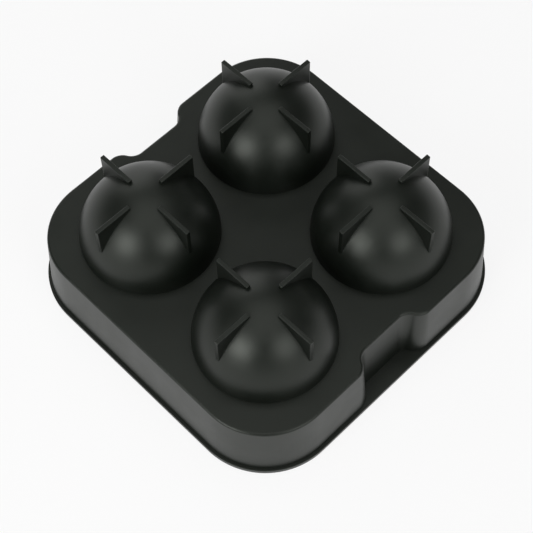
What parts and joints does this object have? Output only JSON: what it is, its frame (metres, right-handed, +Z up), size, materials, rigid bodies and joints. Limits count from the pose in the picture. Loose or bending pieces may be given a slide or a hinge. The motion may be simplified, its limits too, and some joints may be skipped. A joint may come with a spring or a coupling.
{
  "type": "ice ball mould",
  "caption": "Square silicone mould for ice balls: footed cups on a notched tray that lifts off a nested lid with fill holes.",
  "frame": {"origin": "on the surface that the mould lies on, under the middle of the square", "axes": "+Z up, feet up as pictured; X square to the two sides with finger notches, Y along them"},
  "size_m": [0.127, 0.127, 0.0509],
  "materials": {
    "tray_silicone": "matte moulded silicone with a fine grain",
    "lid_silicone": "matte moulded silicone with a fine grain"
  },
  "bodies": {
    "lid": {"lid_deck": "lid_silicone", "lid_wall": "lid_silicone", "dome_front_left": "lid_silicone", "dome_front_right": "lid_silicone", "dome_back_left": "lid_silicone", "dome_back_right": "lid_silicone"},
    "tray": {"tray_deck": "tray_silicone", "tray_wall": "tray_silicone", "cup_front_left": "tray_silicone", "cup_front_right": "tray_silicone", "cup_back_left": "tray_silicone", "cup_back_right": "tray_silicone", "feet_front_left": "tray_silicone", "feet_front_right": "tray_silicone", "feet_back_left": "tray_silicone", "feet_back_right": "tray_silicone"}
  },
  "joints": [
    {"name": "tray_lift", "type": "slide", "parent": "lid", "child": "tray", "axis": [0, 0, 1], "range_m": [0, 0.08]}
  ]
}
